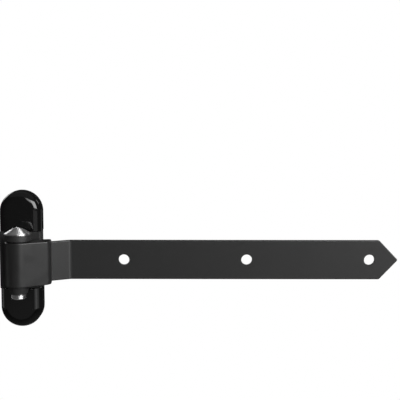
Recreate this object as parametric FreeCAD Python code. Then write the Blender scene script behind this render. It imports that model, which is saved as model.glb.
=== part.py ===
import FreeCAD, Part
import math
import os

# Adjustable gate hinge, millimetres.
# The origin is the centre of the base plate's back face, which lies on the post.
# +X runs along the strap, -Y faces the viewer, +Z is up along the hinge pin.

# Strap that carries the gate
strap_width = 40.0
strap_thickness = 5.0
strap_standoff = 12.0
strap_flat_length = 334.0
strap_hole_radius = 5.5
strap_hole_count = 3
bend_to_first_hole = 55.0
last_hole_to_tip = 29.0
tip_shoulder_length = 19.0
tip_radius = 1.5
shoulder_radius = 3.0
strap_edge_radius = 0.9
crank_angle = 30.0
crank_inner_radius = 6.0

# Hinge pin with a conical head
pin_x = 2.0
pin_standoff = 42.3
pin_radius = 7.3
pin_tail = 6.0
pin_end_chamfer = 0.9
head_radius = 13.3
head_rim_height = 1.3
head_cone_height = 5.0
head_top_radius = 4.2
head_top_rounding = 2.2
ring_radius = 8.2
ring_thickness = 1.0
ring_groove_depth = 0.7

# Knuckle that turns on the pin
knuckle_height = 44.4
knuckle_radius = 13.0
arm_reach = 30.5
arm_front_depth = 11.0
arm_back_depth = 5.5
arm_end_lean = 24.0
arm_front_rounding = 7.0
arm_back_rounding = 3.0
arm_edge_drop = 0.5
knuckle_edge_radius = 1.1
strap_pocket_depth = 17.0

# Bushes in the knuckle
bush_radius = 9.0
bush_length = 16.0
bush_flange_radius = 10.6
bush_flange_thickness = 1.0

# Screws that hold the strap in the knuckle
strap_screw_radius = 3.0
strap_screw_head_radius = 5.6
strap_screw_spacing = 20.0
strap_screw_inset = 8.5
strap_screw_bite = 4.0
strap_screw_sink = 1.5

# Housing outline shared by the caps and the casting
housing_width = 42.6
housing_height = 140.0
housing_depth = 20.0
housing_front_radius = 9.0
post_gap = 0.3

# Covers
cap_wall = 2.0
cap_seam = 0.5
peg_radius = 1.9
peg_post_radius = 2.8
peg_x = 14.2
peg_length = 2.6
peg_beyond_block = 9.5

# Casting with the two arms
block_side_inset = 0.4
block_front_inset = 0.7
block_edge_radius = 1.2
block_top_drop = 1.0
upper_neck_drop = 1.5
block_wall = 3.0
block_floor = 6.0
upper_arm_thickness = 6.6
lower_arm_thickness = 5.8
upper_collar_radius = 13.0
lower_collar_top_radius = 10.4
lower_collar_bottom_radius = 9.0
upper_neck_width = 17.0
lower_neck_width = 14.0
collar_edge_radius = 0.7
flange_width = 34.0
flange_web = 2.8
flange_beyond_slot = 4.8

# Base plate on the post
base_width = 26.0
base_end_gap = 10.0
base_thickness = 5.0
post_hole_radius = 3.3
post_sink_radius = 6.4
post_hole_end_inset = 7.5
post_inner_spacing = 40.0
key_length = 11.0
key_height = 3.0
key_depth = 1.2
key_spacing = 56.0

# Cross slide
slide_width = 22.0
slide_end_inset = 10.0
slide_thickness = 3.5
side_travel = 4.0
height_travel = 4.0

# Clamp screws, washers and slot nuts under the caps
clamp_end_inset = 18.0
clamp_radius = 3.0
clamp_head_radius = 4.8
clamp_head_height = 4.2
clamp_socket_flats = 5.0
clamp_socket_depth = 2.5
washer_radius = 6.2
washer_thickness = 1.2
slot_nut_size = 9.0
slot_nut_thickness = 2.4

# Side adjusting screw and its lugs
adjuster_y = -12.0
side_screw_z = 12.0
side_screw_radius = 2.5
side_screw_head_radius = 4.0
side_screw_head_length = 4.0
side_screw_reach = 20.0
side_lug_x = 4.0
side_lug_width = 4.0
side_nut_lug_x = -10.0
side_nut_lug_width = 6.0
lug_height = 9.0
lug_front = 15.7
clip_radius = 4.0
clip_thickness = 0.9
clip_groove_depth = 0.6
side_access_height = 7.0

# Height adjusting screw and its lug
height_screw_x = -8.0
height_screw_radius = 3.0
height_screw_neck_radius = 2.0
height_screw_button_radius = 3.4
height_screw_button_height = 2.5
height_lug_z = -12.0
height_lug_thickness = 3.0
height_lug_width = 8.0
height_screw_tail = 4.0
key_socket_flats = 3.0
key_socket_depth = 3.0

# Clearances
running_clearance = 0.05
slide_clearance = 0.1
seat_clearance = 0.02
bolt_clearance = 0.2
axial_play = 0.1

# Cutters run this far past a face, and points this close count as one
overcut = 1.0
same_place = 1e-6

# Sizes that follow from the ones above
V = FreeCAD.Vector
X_AXIS = V(1, 0, 0)
Y_AXIS = V(0, 1, 0)
Z_AXIS = V(0, 0, 1)
pin_axis = V(pin_x, -pin_standoff, 0)
crank = math.radians(crank_angle)
strap_middle_y = -(strap_standoff + strap_thickness / 2)
bend_x = pin_x + (pin_standoff + strap_middle_y) / math.tan(crank)
tip_x = bend_x + strap_flat_length
first_hole_x = bend_x + bend_to_first_hole
last_hole_x = tip_x - last_hole_to_tip
strap_hole_pitch = (last_hole_x - first_hole_x) / (strap_hole_count - 1)
arm_end_slope = math.tan(math.radians(arm_end_lean))
arm_back_reach = arm_reach + (arm_front_depth + arm_back_depth) * arm_end_slope
strap_start = arm_reach - strap_pocket_depth + seat_clearance
knuckle_top = knuckle_height / 2
flange_face = knuckle_top + bush_flange_thickness
upper_arm_bottom = flange_face + axial_play
upper_arm_top = upper_arm_bottom + upper_arm_thickness
lower_arm_top = -flange_face
lower_arm_bottom = lower_arm_top - lower_arm_thickness
ring_top = lower_arm_bottom - axial_play
ring_bottom = ring_top - ring_thickness
block_top = upper_arm_top - block_top_drop
block_bottom = lower_arm_bottom
block_half = housing_width / 2 - block_side_inset
block_front = -(housing_depth - block_front_inset)
slide_back = -base_thickness
slide_front = slide_back - slide_thickness
web_front = slide_front - flange_web
hollow_half = block_half - block_wall
hollow_front = block_front + block_wall
base_height = housing_height - 2 * base_end_gap
post_outer_spacing = base_height - 2 * post_hole_end_inset
slide_height = base_height - 2 * slide_end_inset
clamp_z = base_height / 2 - clamp_end_inset
slot_half_height = height_travel + clamp_radius + bolt_clearance
flange_end = clamp_z + slot_half_height + flange_beyond_slot
peg_z_top = block_top + peg_beyond_block
peg_z_bottom = block_bottom - peg_beyond_block
washer_front = web_front - washer_thickness
nut_recess = slot_nut_thickness + slide_clearance


def box(x_range, y_range, z_range):
    """A block given by its limits along each axis."""
    lows = [min(pair) for pair in (x_range, y_range, z_range)]
    highs = [max(pair) for pair in (x_range, y_range, z_range)]
    sizes = [high - low for low, high in zip(lows, highs)]
    return Part.makeBox(sizes[0], sizes[1], sizes[2], V(lows[0], lows[1], lows[2]))


def rod(radius, start, end):
    """A round bar between two points."""
    return Part.makeCylinder(radius, (end - start).Length, start, end - start)


def hexagon(across_flats, start, end):
    """A six-sided bar between two points, with flats facing along Y or Z."""
    direction = end - start
    side = across_flats / math.sqrt(3)
    points = []
    for corner in range(6):
        angle = math.radians(60 * corner)
        points.append(V(side * math.cos(angle), side * math.sin(angle), 0))
    bar = Part.Face(Part.makePolygon(points + points[:1])).extrude(V(0, 0, direction.Length))
    bar.Placement = FreeCAD.Placement(start, FreeCAD.Rotation(Z_AXIS, direction))
    return bar


def stadium(width, height, y_front, y_back):
    """An upright plate with half-round ends between two depths."""
    radius = width / 2
    straight = height / 2 - radius
    right = Part.LineSegment(V(radius, y_front, -straight), V(radius, y_front, straight))
    crown = V(0, y_front, height / 2)
    foot = V(0, y_front, -height / 2)
    top = Part.Arc(V(radius, y_front, straight), crown, V(-radius, y_front, straight))
    left = Part.LineSegment(V(-radius, y_front, straight), V(-radius, y_front, -straight))
    bottom = Part.Arc(V(-radius, y_front, -straight), foot, V(radius, y_front, -straight))
    outline = Part.Wire([curve.toShape() for curve in (right, top, left, bottom)])
    return Part.Face(outline).extrude(V(0, y_back - y_front, 0))


def slot_along_x(half_width, half_length, y_range, z):
    """A cutter for a level slot with round ends, centred on the hinge."""
    reach = half_length - half_width
    cutter = box((-reach, reach), y_range, (z - half_width, z + half_width))
    for x in (-reach, reach):
        cutter = cutter.fuse(rod(half_width, V(x, y_range[0], z), V(x, y_range[1], z)))
    return cutter


def slot_along_z(half_width, half_length, y_range, z):
    """A cutter for an upright slot with round ends, centred on the hinge."""
    reach = half_length - half_width
    cutter = box((-half_width, half_width), y_range, (z - reach, z + reach))
    for end in (z - reach, z + reach):
        cutter = cutter.fuse(rod(half_width, V(0, y_range[0], end), V(0, y_range[1], end)))
    return cutter


def on_pin(shape):
    """Turns a shape modelled along the strap's crank and sets it on the pin axis."""
    placed = shape.copy()
    placed.rotate(V(0, 0, 0), Z_AXIS, crank_angle)
    placed.translate(pin_axis)
    return placed


def middle_of(edge):
    """The point halfway along an edge."""
    return edge.valueAt((edge.FirstParameter + edge.LastParameter) / 2)


def edges_where(shape, test):
    """The edges of a shape whose middle point passes a test."""
    return [edge for edge in shape.Edges if test(middle_of(edge))]


def make_base_plate():
    """Plate on the post: sunk screw holes, level clamp slots, guide keys and the screw's lug."""
    plate = stadium(base_width, base_height, -base_thickness, 0)
    for side in (-1, 1):
        key = box((-key_length / 2, key_length / 2), (-base_thickness, -base_thickness - key_depth),
                  (side * key_spacing / 2 - key_height / 2, side * key_spacing / 2 + key_height / 2))
        plate = plate.fuse(key)
    lug = box((side_lug_x, side_lug_x + side_lug_width), (-base_thickness, -lug_front),
              (side_screw_z - lug_height / 2, side_screw_z + lug_height / 2))
    plate = plate.fuse(lug).removeSplitter()
    bore_start = V(side_lug_x - overcut, adjuster_y, side_screw_z)
    bore_end = V(side_lug_x + side_lug_width + overcut, adjuster_y, side_screw_z)
    plate = plate.cut(rod(side_screw_radius + running_clearance, bore_start, bore_end))
    sink_depth = post_sink_radius - post_hole_radius
    post_rows = [spacing / 2 for spacing in (post_inner_spacing, post_outer_spacing)]
    for z in post_rows + [-row for row in post_rows]:
        plate = plate.cut(rod(post_hole_radius, V(0, overcut, z), V(0, -base_thickness - overcut, z)))
        plate = plate.cut(Part.makeCone(post_sink_radius, post_hole_radius, sink_depth,
                                        V(0, -base_thickness, z), Y_AXIS))
    slot_half = side_travel + clamp_radius + bolt_clearance
    recess_half = side_travel + slot_nut_size / 2 + slide_clearance
    for z in (-clamp_z, clamp_z):
        through = (overcut, -base_thickness - overcut)
        plate = plate.cut(slot_along_x(clamp_radius + bolt_clearance, slot_half, through, z))
        recess = box((-recess_half, recess_half), (0, -nut_recess),
                     (z - slot_nut_size / 2 - slide_clearance, z + slot_nut_size / 2 + slide_clearance))
        plate = plate.cut(recess)
    return plate


def make_slide_plate():
    """Cross slide: grooves for the guide keys, clamp holes, a nut lug and a fork for the height screw."""
    half = slide_width / 2
    plate = box((-half, half), (slide_back, slide_front), (-slide_height / 2, slide_height / 2))
    corner_radius = half / 2
    corners = edges_where(plate, lambda p: abs(abs(p.x) - half) < same_place
                          and abs(abs(p.z) - slide_height / 2) < same_place)
    plate = plate.makeFillet(corner_radius, corners)
    for side in (-1, 1):
        z = side * key_spacing / 2
        groove_half = key_height / 2 + slide_clearance
        groove_floor = slide_back - key_depth - slide_clearance
        plate = plate.cut(box((-half - overcut, half + overcut), (slide_back, groove_floor),
                              (z - groove_half, z + groove_half)))
        plate = plate.cut(rod(clamp_radius + bolt_clearance, V(0, 0, side * clamp_z),
                              V(0, slide_front - overcut, side * clamp_z)))
    notch_start = side_lug_x - slide_clearance - clip_thickness - side_travel - bolt_clearance
    notch_half = lug_height / 2 + bolt_clearance
    plate = plate.cut(box((notch_start, half + overcut), (0, slide_front - overcut),
                          (side_screw_z - notch_half, side_screw_z + notch_half)))
    nut_lug = box((side_nut_lug_x, side_nut_lug_x + side_nut_lug_width), (slide_front, -lug_front),
                  (side_screw_z - lug_height / 2, side_screw_z + lug_height / 2))
    fork = box((height_screw_x - height_lug_width / 2, height_screw_x + height_lug_width / 2),
               (slide_front, -lug_front), (height_lug_z, height_lug_z + height_lug_thickness))
    plate = plate.fuse([nut_lug, fork]).removeSplitter()
    bore_start = V(side_nut_lug_x - overcut, adjuster_y, side_screw_z)
    bore_end = V(side_nut_lug_x + side_nut_lug_width + overcut, adjuster_y, side_screw_z)
    plate = plate.cut(rod(side_screw_radius + running_clearance, bore_start, bore_end))
    neck_half = height_screw_neck_radius + running_clearance
    below = V(height_screw_x, adjuster_y, height_lug_z - overcut)
    above = V(height_screw_x, adjuster_y, height_lug_z + height_lug_thickness + overcut)
    plate = plate.cut(rod(neck_half, below, above))
    plate = plate.cut(box((height_screw_x - neck_half, height_screw_x + neck_half),
                          (adjuster_y, -lug_front - overcut), (below.z, above.z)))
    return plate


def make_side_screw():
    """Screw along X: its head and clip trap it in the base plate's lug, and its thread moves the slide."""
    start = V(side_lug_x + side_lug_width - side_screw_reach, adjuster_y, side_screw_z)
    shoulder = V(side_lug_x + side_lug_width + slide_clearance, adjuster_y, side_screw_z)
    end = shoulder + X_AXIS * side_screw_head_length
    screw = rod(side_screw_radius, start, shoulder)
    screw = screw.fuse(rod(side_screw_head_radius, shoulder, end)).removeSplitter()
    screw = screw.cut(hexagon(key_socket_flats, end - X_AXIS * key_socket_depth, end + X_AXIS * overcut))
    groove_end = V(side_lug_x - slide_clearance, adjuster_y, side_screw_z)
    groove = rod(side_screw_radius + overcut, groove_end - X_AXIS * clip_thickness, groove_end)
    core_start = groove_end - X_AXIS * (clip_thickness + overcut)
    groove = groove.cut(rod(side_screw_radius - clip_groove_depth, core_start, groove_end + X_AXIS * overcut))
    return screw.cut(groove)


def make_side_clip():
    """Open spring clip in the side screw's groove."""
    end = V(side_lug_x - slide_clearance, adjuster_y, side_screw_z)
    start = end - X_AXIS * clip_thickness
    ring = rod(clip_radius, start, end)
    inner = side_screw_radius - clip_groove_depth + seat_clearance
    ring = ring.cut(rod(inner, start - X_AXIS * overcut, end + X_AXIS * overcut))
    mouth = box((start.x - overcut, end.x + overcut), (adjuster_y - inner, adjuster_y + inner),
                (side_screw_z, side_screw_z - clip_radius - overcut))
    return ring.cut(mouth)


def make_height_screw():
    """Upright screw: its neck hangs in the slide's fork, and its thread lifts the casting."""
    centre = V(height_screw_x, adjuster_y, 0)
    fork_bottom = centre + Z_AXIS * (height_lug_z - slide_clearance)
    fork_top = centre + Z_AXIS * (height_lug_z + height_lug_thickness + slide_clearance)
    tail = centre + Z_AXIS * (block_bottom - height_screw_tail)
    button_top = fork_top + Z_AXIS * height_screw_button_height
    screw = rod(height_screw_radius, tail, fork_bottom)
    screw = screw.fuse([rod(height_screw_neck_radius, fork_bottom, fork_top),
                        rod(height_screw_button_radius, fork_top, button_top)]).removeSplitter()
    return screw.cut(hexagon(key_socket_flats, tail - Z_AXIS * overcut, tail + Z_AXIS * key_socket_depth))


def make_clamp_screw(z):
    """Socket screw through the casting's slot, the slide and the base plate's slot."""
    seat = V(0, washer_front, z)
    screw = rod(clamp_radius, V(0, -slide_clearance, z), seat)
    head_end = seat - Y_AXIS * clamp_head_height
    screw = screw.fuse(rod(clamp_head_radius, seat, head_end)).removeSplitter()
    socket_floor = head_end + Y_AXIS * clamp_socket_depth
    return screw.cut(hexagon(clamp_socket_flats, socket_floor, head_end - Y_AXIS * overcut))


def make_clamp_washer(z):
    """Plain washer under a clamp screw's head."""
    disc = rod(washer_radius, V(0, web_front, z), V(0, washer_front, z))
    hole_start = V(0, web_front + overcut, z)
    hole_end = V(0, washer_front - overcut, z)
    return disc.cut(rod(clamp_radius + bolt_clearance, hole_start, hole_end))


def make_clamp_nut(z):
    """Square nut that slides in the recess behind the base plate."""
    half = slot_nut_size / 2
    nut = box((-half, half), (-nut_recess, -slide_clearance), (z - half, z + half))
    return nut.cut(rod(clamp_radius + seat_clearance, V(0, overcut, z), V(0, -nut_recess - overcut, z)))


def make_hinge_body():
    """Casting: hollow middle block, flanges with upright slots, and two arms that carry the pin."""
    block = box((-block_half, block_half), (block_front, -post_gap), (block_bottom, block_top))
    front_edges = edges_where(block, lambda p: abs(p.y - block_front) < same_place
                              and abs(abs(p.x) - block_half) < same_place)
    block = block.makeFillet(block_edge_radius, front_edges)
    flange = stadium(flange_width, 2 * flange_end, web_front, slide_back - post_gap)
    body = block.fuse(flange)
    body = body.cut(box((-hollow_half, hollow_half), (hollow_front, overcut),
                        (block_bottom + block_floor, block_top - block_wall)))
    whole_height = (-flange_end - overcut, flange_end + overcut)
    body = body.cut(box((-hollow_half, hollow_half), (slide_back - post_gap, overcut), whole_height))
    channel_half = slide_width / 2 + slide_clearance
    body = body.cut(box((-channel_half, channel_half), (slide_front, overcut), whole_height))
    for z in (-clamp_z, clamp_z):
        through = (0, web_front - overcut)
        body = body.cut(slot_along_z(clamp_radius + bolt_clearance, slot_half_height, through, z))
    hole_end = web_front + peg_length + slide_clearance
    for z in (peg_z_bottom, peg_z_top):
        for x in (-peg_x, peg_x):
            peg_hole = rod(peg_radius + seat_clearance, V(x, web_front - overcut, z), V(x, hole_end, z))
            body = body.cut(peg_hole)
    access_half = side_access_height / 2
    window_half = access_half + height_travel
    body = body.cut(box((hollow_half - overcut, block_half + overcut),
                        (adjuster_y - access_half, adjuster_y + access_half),
                        (side_screw_z - window_half, side_screw_z + window_half)))
    bore_start = V(height_screw_x, adjuster_y, block_bottom - overcut)
    bore_end = V(height_screw_x, adjuster_y, block_bottom + block_floor + overcut)
    body = body.cut(rod(height_screw_radius + running_clearance, bore_start, bore_end))
    flute_start = V(height_screw_x, adjuster_y, block_bottom)
    flute_length = height_screw_tail + height_travel + bolt_clearance
    flute_end = flute_start - Z_AXIS * flute_length
    body = body.cut(rod(height_screw_radius + bolt_clearance, flute_start, flute_end))
    neck_root = block_front + block_wall / 2
    upper = rod(upper_collar_radius, pin_axis + Z_AXIS * upper_arm_bottom, pin_axis + Z_AXIS * upper_arm_top)
    upper = upper.makeFillet(collar_edge_radius, [edge for edge in upper.Edges if len(edge.Vertexes) == 1])
    upper_neck = box((pin_x - upper_neck_width / 2, pin_x + upper_neck_width / 2), (-pin_standoff, neck_root),
                     (upper_arm_bottom, upper_arm_top - upper_neck_drop))
    lower = Part.makeCone(lower_collar_bottom_radius, lower_collar_top_radius, lower_arm_thickness,
                          pin_axis + Z_AXIS * lower_arm_bottom, Z_AXIS)
    lower_neck = box((pin_x - lower_neck_width / 2, pin_x + lower_neck_width / 2), (-pin_standoff, neck_root),
                     (lower_arm_bottom, lower_arm_top))
    body = body.fuse([upper, upper_neck, lower, lower_neck]).removeSplitter()
    bore_start = pin_axis + Z_AXIS * (lower_arm_bottom - overcut)
    bore_end = pin_axis + Z_AXIS * (upper_arm_top + overcut)
    return body.cut(rod(pin_radius + seat_clearance, bore_start, bore_end))


def make_cap(z_seam, z_far, peg_z):
    """Cover: half of a hollow rounded stadium, with two pegs that press into the casting's flange."""
    outer = stadium(housing_width, housing_height, -housing_depth, -post_gap)
    outer_rim = edges_where(outer, lambda p: abs(p.y + housing_depth) < same_place)
    outer = outer.makeFillet(housing_front_radius, outer_rim)
    inner_depth = housing_depth - cap_wall
    inner = stadium(housing_width - 2 * cap_wall, housing_height - 2 * cap_wall, -inner_depth, overcut)
    inner_rim = edges_where(inner, lambda p: abs(p.y + inner_depth) < same_place)
    inner = inner.makeFillet(housing_front_radius - cap_wall, inner_rim)
    keep = box((-housing_width, housing_width), (-housing_depth - overcut, overcut), (z_seam, z_far))
    cap = outer.cut(inner).common(keep)
    posts = []
    for x in (-peg_x, peg_x):
        posts.append(rod(peg_post_radius, V(x, -inner_depth - cap_wall / 2, peg_z), V(x, web_front, peg_z)))
        posts.append(rod(peg_radius, V(x, web_front, peg_z), V(x, web_front + peg_length, peg_z)))
    return cap.fuse([post.common(outer) for post in posts]).removeSplitter()


def make_hinge_pin():
    """Turned pin: conical head, plain shank, and a groove for the retaining ring near its lower end."""
    base = upper_arm_top
    rim = base + head_rim_height
    top = rim + head_cone_height
    end = lower_arm_bottom - pin_tail
    groove_radius = pin_radius - ring_groove_depth
    profile = [V(0, 0, top), V(head_top_radius, 0, top), V(head_radius, 0, rim), V(head_radius, 0, base),
               V(pin_radius, 0, base), V(pin_radius, 0, ring_top), V(groove_radius, 0, ring_top),
               V(groove_radius, 0, ring_bottom), V(pin_radius, 0, ring_bottom),
               V(pin_radius, 0, end + pin_end_chamfer), V(pin_radius - pin_end_chamfer, 0, end),
               V(0, 0, end), V(0, 0, top)]
    pin = Part.Face(Part.makePolygon(profile)).revolve(V(0, 0, 0), Z_AXIS, 360)
    rings = [edge for edge in pin.Edges if len(edge.Vertexes) == 1]
    crown = [ring for ring in rings if abs(ring.valueAt(0).z - top) < same_place]
    pin = pin.makeFillet(head_top_rounding, crown)
    pin.translate(pin_axis)
    return pin


def make_pin_ring():
    """Open spring ring in the pin's groove, under the lower arm."""
    inner = pin_radius - ring_groove_depth + seat_clearance
    top = V(0, 0, ring_top - seat_clearance)
    bottom = V(0, 0, ring_bottom + seat_clearance)
    ring = rod(ring_radius, bottom, top)
    ring = ring.cut(rod(inner, bottom - Z_AXIS * overcut, top + Z_AXIS * overcut))
    mouth = box((-inner / 2, inner / 2), (0, ring_radius + overcut), (bottom.z - overcut, top.z + overcut))
    ring = ring.cut(mouth)
    ring.translate(pin_axis)
    return ring


def tangent_lean(reach, depth):
    """Angle between the arm and a line from one of its end corners that touches the round eye."""
    return math.asin(knuckle_radius / math.hypot(reach, depth)) - math.atan2(depth, reach)


def make_knuckle():
    """Cast eye and tapered arm, with the bush bore, the strap's pocket and two screw holes."""
    front_lean = tangent_lean(arm_reach, arm_front_depth)
    back_lean = tangent_lean(arm_back_reach, arm_back_depth)
    front_touch = V(knuckle_radius * math.sin(front_lean), -knuckle_radius * math.cos(front_lean), 0)
    back_touch = V(knuckle_radius * math.sin(back_lean), knuckle_radius * math.cos(back_lean), 0)
    front_corner = V(arm_reach, -arm_front_depth, 0)
    back_corner = V(arm_back_reach, arm_back_depth, 0)
    eye = Part.Arc(back_touch, V(-knuckle_radius, 0, 0), front_touch).toShape()
    lines = Part.makePolygon([front_touch, front_corner, back_corner, back_touch])
    profile = Part.Face(Part.Wire([eye] + lines.Edges))
    body = profile.extrude(V(0, 0, knuckle_height))
    body.translate(V(0, 0, -knuckle_top))
    for corner, rounding in ((front_corner, arm_front_rounding), (back_corner, arm_back_rounding)):
        upright = edges_where(body, lambda p: (V(p.x, p.y, 0) - corner).Length < same_place)
        body = body.makeFillet(rounding, upright)
    taper_start = knuckle_radius / 2
    for side in (-1, 1):
        slope = [V(taper_start, -2 * knuckle_radius, side * knuckle_top),
                 V(arm_back_reach, -2 * knuckle_radius, side * knuckle_top),
                 V(arm_back_reach, -2 * knuckle_radius, side * (knuckle_top - arm_edge_drop))]
        wedge = Part.Face(Part.makePolygon(slope + slope[:1])).extrude(V(0, 4 * knuckle_radius, 0))
        body = body.cut(wedge)
    rims = [edge for edge in body.Edges if is_rim(edge, taper_start)]
    body = body.makeFillet(knuckle_edge_radius, rims)
    body = body.cut(rod(bush_radius, V(0, 0, -knuckle_top - overcut), V(0, 0, knuckle_top + overcut)))
    pocket_half = strap_width / 2 + seat_clearance
    wall_half = strap_thickness / 2 + seat_clearance
    body = body.cut(box((arm_reach - strap_pocket_depth, arm_back_reach + overcut), (-wall_half, wall_half),
                        (-pocket_half, pocket_half)))
    for z in (-strap_screw_spacing / 2, strap_screw_spacing / 2):
        body = body.cut(strap_screw_cutter(z))
    return on_pin(body)


def is_rim(edge, taper_start):
    """True for an edge round the top or bottom of the knuckle, but not for the crease across it."""
    middle = middle_of(edge)
    across = abs(middle.x - taper_start) < same_place and abs(middle.y) < knuckle_radius / 2
    return abs(middle.z) > knuckle_top - arm_edge_drop - same_place and not across


def strap_screw_place(z):
    """Middle of a strap screw's mouth on the back of the knuckle's arm."""
    x = arm_reach - strap_screw_inset
    back = knuckle_radius - (knuckle_radius - arm_back_depth) * x / arm_back_reach
    return V(x, back, z)


def strap_screw_cutter(z):
    """Hole with a sunk seat for one strap screw, from the back of the arm into its front wall."""
    start = strap_screw_place(z)
    seat_depth = strap_screw_head_radius - strap_screw_radius
    end = V(start.x, -strap_thickness / 2 - strap_screw_bite, z)
    hole = rod(strap_screw_radius + seat_clearance, V(start.x, start.y + overcut, z), end)
    sink_start = V(start.x, start.y - strap_screw_sink, z)
    sink = Part.makeCone(strap_screw_head_radius, strap_screw_radius, seat_depth, sink_start, -Y_AXIS)
    mouth = rod(strap_screw_head_radius, sink_start + Y_AXIS * (strap_screw_sink + overcut), sink_start)
    return hole.fuse([sink, mouth])


def make_strap_screw(z):
    """Sunk socket screw through the back wall and the strap into the front wall of the arm."""
    start = strap_screw_place(z) - Y_AXIS * strap_screw_sink
    seat_depth = strap_screw_head_radius - strap_screw_radius
    end = V(start.x, -strap_thickness / 2 - strap_screw_bite + seat_clearance, z)
    head_radius_made = strap_screw_head_radius - seat_clearance
    screw = Part.makeCone(head_radius_made, strap_screw_radius, seat_depth, start, -Y_AXIS)
    screw = screw.fuse(rod(strap_screw_radius, start - Y_AXIS * seat_depth, end)).removeSplitter()
    screw = screw.cut(hexagon(key_socket_flats, start - Y_AXIS * key_socket_depth, start + Y_AXIS * overcut))
    return on_pin(screw)


def make_strap():
    """Flat bar with one shallow crank, three bolt holes and a pointed end."""
    half = strap_thickness / 2
    along = V(math.cos(crank), math.sin(crank), 0)
    behind = V(-math.sin(crank), math.cos(crank), 0)
    corner = V(bend_x, strap_middle_y, 0)
    corner_back = V(-math.sin(crank / 2), math.cos(crank / 2), 0) * (half / math.cos(crank / 2))
    start = pin_axis + along * strap_start
    tip = V(tip_x, strap_middle_y, 0)
    outline = [start - behind * half, corner - corner_back, tip - Y_AXIS * half,
               tip + Y_AXIS * half, corner + corner_back, start + behind * half]
    bar = Part.Face(Part.makePolygon(outline + outline[:1])).extrude(V(0, 0, strap_width))
    bar.translate(V(0, 0, -strap_width / 2))
    front_bend = (corner - corner_back, crank_inner_radius)
    back_bend = (corner + corner_back, crank_inner_radius + strap_thickness)
    for place, radius in (front_bend, back_bend):
        crease = edges_where(bar, lambda p: (V(p.x, p.y, 0) - place).Length < same_place)
        bar = bar.makeFillet(radius, crease)
    shoulder_x = tip_x - tip_shoulder_length
    for side in (-1, 1):
        edge_z = side * strap_width / 2
        corner_cut = [V(shoulder_x, 0, edge_z), V(tip_x, 0, 0), V(tip_x, 0, edge_z)]
        wedge = Part.Face(Part.makePolygon(corner_cut + corner_cut[:1])).extrude(V(0, -pin_standoff, 0))
        bar = bar.cut(wedge)
    bar = bar.makeFillet(tip_radius, edges_where(bar, lambda p: abs(p.x - tip_x) < same_place))
    shoulders = edges_where(bar, lambda p: abs(p.x - shoulder_x) < same_place
                            and abs(p.y - strap_middle_y) < same_place)
    bar = bar.makeFillet(shoulder_radius, shoulders)
    face_edges = [edge for edge in bar.Edges if is_along_strap(edge, start)]
    bar = bar.makeFillet(strap_edge_radius, face_edges)
    for hole in range(strap_hole_count):
        x = first_hole_x + hole * strap_hole_pitch
        bar = bar.cut(rod(strap_hole_radius, V(x, 0, 0), V(x, -pin_standoff, 0)))
    for z in (-strap_screw_spacing / 2, strap_screw_spacing / 2):
        hole_start = V(arm_reach - strap_screw_inset, half + overcut, z)
        hole_end = V(arm_reach - strap_screw_inset, -half - overcut, z)
        bar = bar.cut(on_pin(rod(strap_screw_radius + seat_clearance, hole_start, hole_end)))
    return bar


def is_along_strap(edge, start):
    """True for an edge that runs round the strap's front or back face, away from its inner end."""
    middle = middle_of(edge)
    ends = [vertex.Point for vertex in edge.Vertexes]
    level = all(abs(abs(end.z) - abs(middle.z)) < same_place for end in ends)
    through_thickness = level and edge.Length < strap_thickness + same_place
    at_inner_end = (V(middle.x, middle.y, 0) - start).Length < strap_thickness
    upright = abs(middle.z) < same_place and abs(ends[0].x - ends[-1].x) < same_place
    across_crank = upright and middle.x < tip_x - tip_shoulder_length
    return not (through_thickness or at_inner_end or across_crank)


def make_bush(side):
    """Flanged bush pressed into one end of the knuckle."""
    face = side * knuckle_top
    inner_end = side * (knuckle_top - bush_length)
    bush = rod(bush_radius - seat_clearance, V(0, 0, face), V(0, 0, inner_end))
    bush = bush.fuse(rod(bush_flange_radius, V(0, 0, face), V(0, 0, side * flange_face))).removeSplitter()
    bore_start = V(0, 0, inner_end - side * overcut)
    bore_end = V(0, 0, side * (flange_face + overcut))
    bush = bush.cut(rod(pin_radius + running_clearance, bore_start, bore_end))
    return on_pin(bush)


parts = {
    "base_plate": make_base_plate(),
    "slide_plate": make_slide_plate(),
    "side_adjusting_screw": make_side_screw(),
    "side_screw_clip": make_side_clip(),
    "height_adjusting_screw": make_height_screw(),
    "upper_clamp_screw": make_clamp_screw(clamp_z),
    "lower_clamp_screw": make_clamp_screw(-clamp_z),
    "upper_clamp_washer": make_clamp_washer(clamp_z),
    "lower_clamp_washer": make_clamp_washer(-clamp_z),
    "upper_clamp_nut": make_clamp_nut(clamp_z),
    "lower_clamp_nut": make_clamp_nut(-clamp_z),
    "hinge_body": make_hinge_body(),
    "upper_cap": make_cap(block_top + cap_seam, housing_height, peg_z_top),
    "lower_cap": make_cap(block_bottom - cap_seam, -housing_height, peg_z_bottom),
    "hinge_pin": make_hinge_pin(),
    "pin_ring": make_pin_ring(),
    "knuckle": make_knuckle(),
    "upper_bush": make_bush(1),
    "lower_bush": make_bush(-1),
    "upper_strap_screw": make_strap_screw(strap_screw_spacing / 2),
    "lower_strap_screw": make_strap_screw(-strap_screw_spacing / 2),
    "strap": make_strap(),
}

os.makedirs("parts", exist_ok=True)
for node, shape in parts.items():
    solid = shape.Solids[0] if len(shape.Solids) == 1 else shape
    solid.exportStep("parts/" + node + ".step")
    print(node, len(shape.Solids), shape.isValid(), round(shape.Volume, 1))
print("bend", round(bend_x, 3), "first hole", round(first_hole_x, 3), "tip", round(tip_x, 3))
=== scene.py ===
# %% [markdown]
# # An adjustable gate hinge, dressed for the studio
# The hinge comes in as a finished assembly: every plate, screw and bush already has its true form and place.
# This lesson gives each surface the finish that its making leaves on it, and lights the whole as a catalogue
# picture. Nothing that the assembly fixed is moved, so the gate can still swing when the picture is done.

# %% Load the assembly
import math

import bmesh
import bpy
from mathutils import Matrix, Vector

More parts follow.
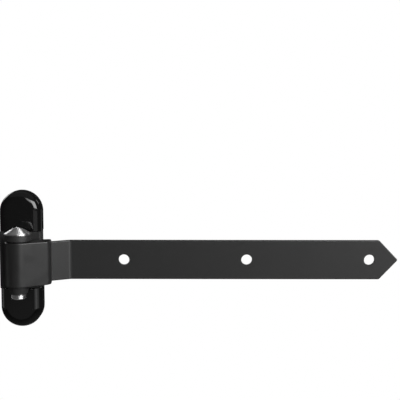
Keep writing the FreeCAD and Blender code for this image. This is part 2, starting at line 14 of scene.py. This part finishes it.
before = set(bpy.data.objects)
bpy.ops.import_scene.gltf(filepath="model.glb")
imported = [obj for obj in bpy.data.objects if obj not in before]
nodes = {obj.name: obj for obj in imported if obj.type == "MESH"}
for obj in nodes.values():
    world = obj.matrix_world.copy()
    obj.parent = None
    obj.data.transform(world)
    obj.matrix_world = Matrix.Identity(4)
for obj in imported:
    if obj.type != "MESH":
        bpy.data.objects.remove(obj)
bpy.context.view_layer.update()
MM = 0.001
print("pieces loaded:", len(nodes))

# %% [markdown]
# ## Writing shader maths as Python
# A finish is a small graph of nodes. Wiring such graphs by hand buries the idea under sockets, so one class
# wraps a socket and turns ordinary arithmetic into Math nodes, and one method makes every other node.
# With these two, a line such as `0.4 + 0.1 * grain` reads like the recipe that it is.

# %% A socket that can be added, scaled and subtracted
class Field:
    """One output socket of a node tree, with the arithmetic that the finishes use."""

    def __init__(self, graph, socket):
        self.graph = graph
        self.socket = socket

    def _math(self, operation, first, second=0.0):
        return self.graph.node("ShaderNodeMath", {"operation": operation}, {0: first, 1: second})

    def __add__(self, other):
        return self._math("ADD", self, other)

    def __radd__(self, other):
        return self._math("ADD", other, self)

    def __sub__(self, other):
        return self._math("SUBTRACT", self, other)

    def __rsub__(self, other):
        return self._math("SUBTRACT", other, self)

    def __mul__(self, other):
        return self._math("MULTIPLY", self, other)

    def __rmul__(self, other):
        return self._math("MULTIPLY", other, self)

    def at_least(self, other):
        return self._math("MAXIMUM", self, other)

    def above(self, other):
        return self._math("GREATER_THAN", self, other)

    def below(self, other):
        return self._math("LESS_THAN", self, other)

    def angle_from(self, other):
        return self._math("ARCTAN2", self, other)

    def size(self):
        return self._math("ABSOLUTE", self)

    def zigzag(self, width):
        return self._math("PINGPONG", self, width)


class Graph:
    """A node tree that hands out Field values."""

    def __init__(self, tree):
        self.tree = tree

    def node(self, kind, settings=None, inputs=None, output=0):
        """Adds a node, applies its settings, fills or links its sockets, and returns one output."""
        made = self.tree.nodes.new(kind)
        for name, value in (settings or {}).items():
            if name == "stops":
                self._set_stops(made.color_ramp, value)
            else:
                setattr(made, name, value)
        for name, value in (inputs or {}).items():
            if isinstance(value, Field):
                self.tree.links.new(value.socket, made.inputs[name])
            else:
                made.inputs[name].default_value = value
        return Field(self, made.outputs[output])

    def _set_stops(self, ramp, stops):
        for element, (place, colour) in zip(ramp.elements, stops):
            element.position = place
            element.color = colour


print("shader helpers ready:", Field.__name__, Graph.__name__)

# %% [markdown]
# ## A starting point for every finish
# All finishes share one Principled shader and the object's own coordinates, in metres. Object coordinates
# keep grain the same size on a long strap and on a small nut, and they do not slide when the gate swings.
# A noise lies round one half, so a value that should wander about a level takes the noise less that half.

# %% Material shell and common grain
grain_low = 0.3
grain_middle = 0.5
grain_high = 0.7
fine_detail = 3.0
soft_detail = 2.0
resin_ior = 1.5


def new_finish(name, **constants):
    """A material with an empty graph round a Principled shader whose constant sockets are set."""
    material = bpy.data.materials.new(name)
    material.use_nodes = True
    graph = Graph(material.node_tree)
    shader = material.node_tree.nodes["Principled BSDF"]
    for socket, value in constants.items():
        shader.inputs[socket.replace("_", " ")].default_value = value
    return material, graph, shader


def plug(graph, shader, **links):
    """Links varying values to the named sockets of a shader."""
    for socket, value in links.items():
        graph.tree.links.new(value.socket, shader.inputs[socket.replace("_", " ")])


def noise(graph, size_mm, detail=soft_detail):
    """Soft grain with lumps of about the given size, as values round one half."""
    place = graph.node("ShaderNodeTexCoord", output="Object")
    scale = 1 / (size_mm * MM)
    return graph.node("ShaderNodeTexNoise", inputs={"Vector": place, "Scale": scale, "Detail": detail})


def grey(level):
    """An opaque grey of one linear level."""
    return (level, level, level, 1.0)


def shade(graph, field, level, spread):
    """Greys about a level: darker where a grain is low, lighter where it is high."""
    stops = [(grain_low, grey(level * (1 - spread))), (grain_high, grey(level * (1 + spread)))]
    return graph.node("ShaderNodeValToRGB", {"stops": stops}, {0: field})


def wander(level, amount, grain):
    """A level that a grain moves up and down by a share of an amount."""
    return level + amount * (grain - grain_middle)


def bump(graph, height_mm):
    """Surface normal for a field of heights in millimetres."""
    return graph.node("ShaderNodeBump", inputs={"Height": height_mm, "Distance": MM})


print("grain helpers ready")

# %% [markdown]
# ## Powder coat on the strap, knuckle and casting
# Powder coat is sprayed on dry and melted in an oven, so it flows into a skin with fine, shallow lumps.
# Two noises do that: a fine one for the lumps, and a wide one for the slow wander of sheen that the metal
# below gives. Rolled strap is flat, so its wide noise has no height. The two castings are a little wavy.
# A thin paler line is painted along the inside of the bend. It is a painted highlight for the light that the
# bend's small radius catches.

# %% Powder coat
lump_size = 0.45
lump_height = 0.02
lump_sheen = 0.06
drift_size = 14.0
drift_detail = 0.5
drift_sheen = 0.04
coat_spread = 0.15
cast_ior = 1.6
# Place, half width and grey of a painted highlight along the inside of the strap's bend.
bend_highlight_place = 49.9
bend_highlight_half_width = 0.9
bend_highlight_level = 0.055
mix_first, mix_second, mix_result = 6, 7, 2


def painted_bend_highlight(graph):
    """Mask of a painted highlight: one along the middle of the bend's inside, falling to nought beside it."""
    place = graph.node("ShaderNodeTexCoord", output="Object")
    along = graph.node("ShaderNodeSeparateXYZ", inputs={0: place}, output="X")
    away = (along * (1 / MM) - bend_highlight_place).size()
    return (1 - away * (1 / bend_highlight_half_width)).at_least(0.0)


def powder_coat(name, level, roughness, ior=resin_ior, wave_height=0.0, with_bend_highlight=False):
    """Black coat of a given grey level and roughness, over metal with waves of a given height."""
    material, graph, shader = new_finish(name, IOR=ior)
    lumps = noise(graph, lump_size, fine_detail)
    drift = noise(graph, drift_size, drift_detail)
    colour = shade(graph, lumps, level, coat_spread)
    # Where the mask is high, the base colour is lifted to a paler grey. This is a painted highlight along the
    # strap's bend.
    if with_bend_highlight:
        greys = {0: painted_bend_highlight(graph), mix_first: colour, mix_second: grey(bend_highlight_level)}
        colour = graph.node("ShaderNodeMix", {"data_type": "RGBA"}, greys, output=mix_result)
    plug(graph, shader,
         Base_Color=colour,
         Roughness=wander(wander(roughness, lump_sheen, lumps), drift_sheen, drift),
         Normal=bump(graph, lump_height * lumps + wave_height * drift))
    return material


# The strap's coat carries the painted bend highlight.
strap_coat = powder_coat("strap_powder_coat", level=0.024, roughness=0.38, with_bend_highlight=True)
knuckle_coat = powder_coat("knuckle_powder_coat", level=0.017, roughness=0.34, ior=cast_ior, wave_height=0.7)
casting_coat = powder_coat("casting_powder_coat", level=0.018, roughness=0.52, ior=cast_ior, wave_height=0.5)
print("coats:", strap_coat.name, knuckle_coat.name, casting_coat.name)

# %% [markdown]
# ## Moulded plastic
# The two covers are moulded in black plastic. A polished mould leaves a clear gloss with a faint ripple, so
# the bump here is wide and almost flat, and the roughness only wanders a little. The bushes come from the
# same sort of mould with a matt skin, so they take the same recipe with a higher roughness.

# %% Plastics
ripple_size = 9.0
ripple_height = 0.005
ripple_detail = 1.0
haze_size = 2.5
haze_sheen = 0.04
plastic_spread = 0.1


def moulded_plastic(name, level, roughness):
    """Black moulded plastic with a faint ripple."""
    material, graph, shader = new_finish(name, IOR=resin_ior)
    ripple = noise(graph, ripple_size, ripple_detail)
    haze = noise(graph, haze_size)
    plug(graph, shader,
         Base_Color=shade(graph, haze, level, plastic_spread),
         Roughness=wander(roughness, haze_sheen, haze),
         Normal=bump(graph, ripple_height * ripple))
    return material


cap_plastic = moulded_plastic("cap_plastic", level=0.004, roughness=0.08)
bush_plastic = moulded_plastic("bush_plastic", level=0.006, roughness=0.45)
print("plastics:", cap_plastic.name, bush_plastic.name)

# %% [markdown]
# ## Turned and plated steel
# The pin's head was cut on a lathe. Its fine rings spread each reflection across them, which shows as bright
# wedges that meet at the top. A constant anisotropy gives that, because without a UV map the shader takes its
# grain round the object's own upright axis, and that axis is the pin's. Plated pieces get a soft mottle.

# %% Steels
across_the_rings = 0.25
fine_mottle = 1.5
mottle_spread = 0.06
mottle_sheen = 0.10
screw_level = 0.50
screw_roughness = 0.34


def bare_steel(name, level, roughness, metallic=1.0, anisotropy=0.0, mottle_size=fine_mottle):
    """Bare or plated metal with a mottle in its colour and gloss."""
    material, graph, shader = new_finish(
        name, Metallic=metallic, Anisotropic=anisotropy, Anisotropic_Rotation=across_the_rings)
    mottle = noise(graph, mottle_size, fine_detail)
    plug(graph, shader,
         Base_Color=shade(graph, mottle, level, mottle_spread),
         Roughness=wander(roughness, mottle_sheen, mottle))
    return material


turned_steel = bare_steel("turned_steel", level=0.92, roughness=0.45, anisotropy=0.95, mottle_size=6.0)
zinc_plate = bare_steel("zinc_plate", level=0.55, roughness=0.38, metallic=0.7, mottle_size=2.5)
screw_zinc = bare_steel("screw_zinc", screw_level, screw_roughness, metallic=0.8)
spring_steel = bare_steel("spring_steel", level=0.16, roughness=0.42)
print("steels:", turned_steel.name, zinc_plate.name, screw_zinc.name, spring_steel.name)

# %% [markdown]
# ## Threads on the two adjusting screws
# A rolled thread is one groove that climbs by a pitch in each turn. The height that the bump needs is thus a
# zigzag of the place along the axis plus the angle round it, which needs a few Math nodes and no extra mesh.
# The screws are thin, so a real helix would cost thousands of faces that few pictures could show.

# %% Threads
half_turn = 0.5
full_turn = 2 * math.pi


def threaded_steel(name, axis, centre_mm, pitch_mm):
    """Plated screw steel with a helical groove round an axis through the given centre."""
    material, graph, shader = new_finish(name, Metallic=1.0)
    place = graph.node("ShaderNodeTexCoord", output="Object")
    centre = [value * MM for value in centre_mm]
    from_axis = graph.node("ShaderNodeVectorMath", {"operation": "SUBTRACT"}, {0: place, 1: centre})
    others = [letter for letter in "XYZ" if letter != axis]
    along = graph.node("ShaderNodeSeparateXYZ", inputs={0: from_axis}, output=axis)
    first = graph.node("ShaderNodeSeparateXYZ", inputs={0: from_axis}, output=others[0])
    second = graph.node("ShaderNodeSeparateXYZ", inputs={0: from_axis}, output=others[1])
    turns = along * (1 / (pitch_mm * MM)) + first.angle_from(second) * (1 / full_turn)
    groove = turns.zigzag(half_turn)
    mottle = noise(graph, fine_mottle, fine_detail)
    plug(graph, shader,
         Base_Color=shade(graph, mottle, screw_level, mottle_spread),
         Roughness=wander(screw_roughness, mottle_sheen, mottle),
         Normal=bump(graph, pitch_mm * groove))
    return material


side_thread = threaded_steel("side_screw_thread", "X", centre_mm=(0.0, -12.0, 12.0), pitch_mm=0.8)
height_thread = threaded_steel("height_screw_thread", "Z", centre_mm=(-8.0, -12.0, 0.0), pitch_mm=1.0)
print("threads:", side_thread.name, height_thread.name)

# %% [markdown]
# ## Every piece gets its finish
# One table says which finish each piece has, so that it can be read like a parts list. Pieces that are not in
# it are the plain plated screws, nuts and washers, and they share one finish, as they would from one plating
# bath.

# %% Give out the finishes
finish_of = {
    "strap": strap_coat,
    "knuckle": knuckle_coat,
    "hinge_body": casting_coat,
    "upper_cap": cap_plastic,
    "lower_cap": cap_plastic,
    "hinge_pin": turned_steel,
    "pin_ring": spring_steel,
    "base_plate": zinc_plate,
    "slide_plate": zinc_plate,
    "upper_bush": bush_plastic,
    "lower_bush": bush_plastic,
    "side_screw_clip": spring_steel,
    "side_adjusting_screw": side_thread,
    "height_adjusting_screw": height_thread,
}
for name, piece in nodes.items():
    piece.data.materials.clear()
    piece.data.materials.append(finish_of.get(name, screw_zinc))
print("finishes given to", len(nodes), "pieces")

# %% [markdown]
# ## Floor and backdrop
# The picture has no horizon: the hinge floats on white. The floor shines white where the camera sees it, also
# through something clear, by way of the Light Path node. It is a plain grey for all other light, so that it
# does not wash out the black gloss from below.

# %% Floor
floor_level = -1.20
floor_half = 3.0
floor_grey = 0.16


def in_plain_sight(graph):
    """One for rays that the camera sends out, or that came through something clear, and nought for others."""
    direct = graph.node("ShaderNodeLightPath", output="Is Camera Ray")
    through = graph.node("ShaderNodeLightPath", output="Is Transmission Ray")
    return direct.at_least(through)


def stage_white(name):
    """White to the camera, plain grey to all other light."""
    material = bpy.data.materials.new(name)
    material.use_nodes = True
    graph = Graph(material.node_tree)
    material.node_tree.nodes.remove(material.node_tree.nodes["Principled BSDF"])
    glow = graph.node("ShaderNodeEmission", inputs={"Color": grey(1.0), "Strength": 1.0})
    plain = graph.node("ShaderNodeBsdfDiffuse", inputs={"Color": grey(floor_grey)})
    mixed = graph.node("ShaderNodeMixShader", inputs={0: in_plain_sight(graph), 1: plain, 2: glow})
    output = material.node_tree.nodes["Material Output"]
    graph.tree.links.new(mixed.socket, output.inputs["Surface"])
    return material


plane = bmesh.new()
bmesh.ops.create_grid(plane, x_segments=1, y_segments=1, size=floor_half)
bmesh.ops.translate(plane, verts=plane.verts, vec=(0, 0, floor_level))
floor_mesh = bpy.data.meshes.new("studio_floor")
plane.to_mesh(floor_mesh)
plane.free()
floor = bpy.data.objects.new("studio_floor", floor_mesh)
floor.data.materials.append(stage_white("studio_white"))
bpy.context.scene.collection.objects.link(floor)
print("floor at", floor_level, "m")

# %% [markdown]
# ## The room round the hinge
# Black gloss shows the room more than itself. The room here is dim, a little lighter in front of the hinge
# than behind it, with a faint ceiling that only reflections see and a lighter band low down, where a table
# would stand. The camera sees plain white, and so do reflections that reach the sheet right behind the hinge.

# %% World light
ambient = 0.09
ceiling = 0.12
ceiling_starts = 0.7
room_level = 0.6
front_gain = 0.4
low_band = 0.07
low_band_starts = -0.17
sheet_starts = 0.992

world = bpy.data.worlds.new("studio")
world.use_nodes = True
bpy.context.scene.world = world
sky = Graph(world.node_tree)
direction = sky.node("ShaderNodeTexCoord", output="Generated")
height = sky.node("ShaderNodeSeparateXYZ", inputs={0: direction}, output="Z")
depth = sky.node("ShaderNodeSeparateXYZ", inputs={0: direction}, output="Y")
glossy_ray = sky.node("ShaderNodeLightPath", output="Is Glossy Ray")
overhead = height.above(ceiling_starts) * glossy_ray * ceiling
underside = height.below(low_band_starts) * depth.below(0.0) * low_band
room = ambient * (room_level - front_gain * depth)
sheet = depth.above(sheet_starts) * glossy_ray
brightness = in_plain_sight(sky).at_least(sheet).at_least(overhead + underside + room)
background = world.node_tree.nodes["Background"]
sky.tree.links.new(brightness.socket, background.inputs["Strength"])
background.inputs["Color"].default_value = grey(1.0)
print("ambient", ambient)

# %% [markdown]
# ## Lamps
# A black object is drawn by what it reflects, so each lamp is there for one line in the picture. The key and
# its edge panel draw the bar on the upper cover and the middle wedge on the pin's head. The left and right
# softboxes draw its outer wedges, and with the lamp at the back right the edges. Low, dim panels draw the
# upright stripes on the covers. A wide panel behind lights the back for pictures taken from there, and is
# kept out of the gloss that the front shows.

# %% Softboxes
def softbox(name, azimuth, elevation, distance, width, height, brightness, in_gloss=True):
    """A rectangular lamp that looks at the origin; its face is so many times as bright as white."""
    turn, rise = math.radians(azimuth), math.radians(elevation)
    away = Vector((math.sin(turn) * math.cos(rise), -math.cos(turn) * math.cos(rise), math.sin(rise)))
    lamp = bpy.data.lights.new(name, "AREA")
    lamp.shape = "RECTANGLE"
    lamp.size = width
    lamp.size_y = height
    lamp.energy = brightness * math.pi * width * height
    holder = bpy.data.objects.new(name, lamp)
    holder.location = away * distance
    holder.rotation_euler = (-away).to_track_quat("-Z", "Y").to_euler()
    holder.visible_camera = False
    holder.visible_glossy = in_gloss
    bpy.context.scene.collection.objects.link(holder)
    print(name, "at azimuth", azimuth, "elevation", elevation)


softbox("key_softbox", azimuth=49, elevation=23, distance=1.5, width=0.95, height=0.80, brightness=8.5)
softbox("key_edge_panel", azimuth=20, elevation=31, distance=1.5, width=0.45, height=0.50, brightness=4.0)
softbox("left_softbox", azimuth=-140, elevation=24, distance=1.4, width=0.60, height=0.45, brightness=2.7)
softbox("right_softbox", azimuth=126, elevation=26, distance=1.4, width=0.30, height=0.35, brightness=1.6)
softbox("right_back_lamp", azimuth=144, elevation=-6, distance=1.4, width=0.25, height=0.30, brightness=0.5)
softbox("low_right_panel", azimuth=36, elevation=-14, distance=1.5, width=0.55, height=0.28, brightness=0.6)
softbox("low_wide_panel", azimuth=40, elevation=-14, distance=1.6, width=1.70, height=0.30, brightness=0.5)
softbox("level_wide_panel", azimuth=40, elevation=-4, distance=1.6, width=1.60, height=0.24, brightness=0.40)
softbox("low_left_panel", azimuth=-95, elevation=-14, distance=1.4, width=0.70, height=0.10, brightness=0.6)
softbox("back_panel", azimuth=180, elevation=15, distance=1.6, width=1.60, height=0.80, brightness=6.0,
        in_gloss=False)

# %% [markdown]
# ## Camera
# The picture is taken from a little above and level with the middle of the strap, so the housing at the left
# is seen slightly from its right. The camera aims above the hinge, which sets the hinge low in the frame.

# %% Camera
camera_place = Vector((0.1810, -1.0250, 0.1734))
camera_pitch = 6.343
camera_yaw = -0.087
camera_roll = 0.09
focal_length = 90.24
sensor_width = 36.0

lens = bpy.data.cameras.new("camera")
lens.lens = focal_length
lens.sensor_width = sensor_width
camera = bpy.data.objects.new("camera", lens)
camera.location = camera_place
yaw = Matrix.Rotation(math.radians(camera_yaw), 4, "Z")
pitch = Matrix.Rotation(math.radians(90 - camera_pitch), 4, "X")
roll = Matrix.Rotation(math.radians(camera_roll), 4, "Z")
camera.rotation_euler = (yaw @ pitch @ roll).to_euler()
bpy.context.scene.collection.objects.link(camera)
bpy.context.scene.camera = camera
bpy.context.scene.view_settings.view_transform = "Standard"
print("camera at", [round(value, 3) for value in camera.location])
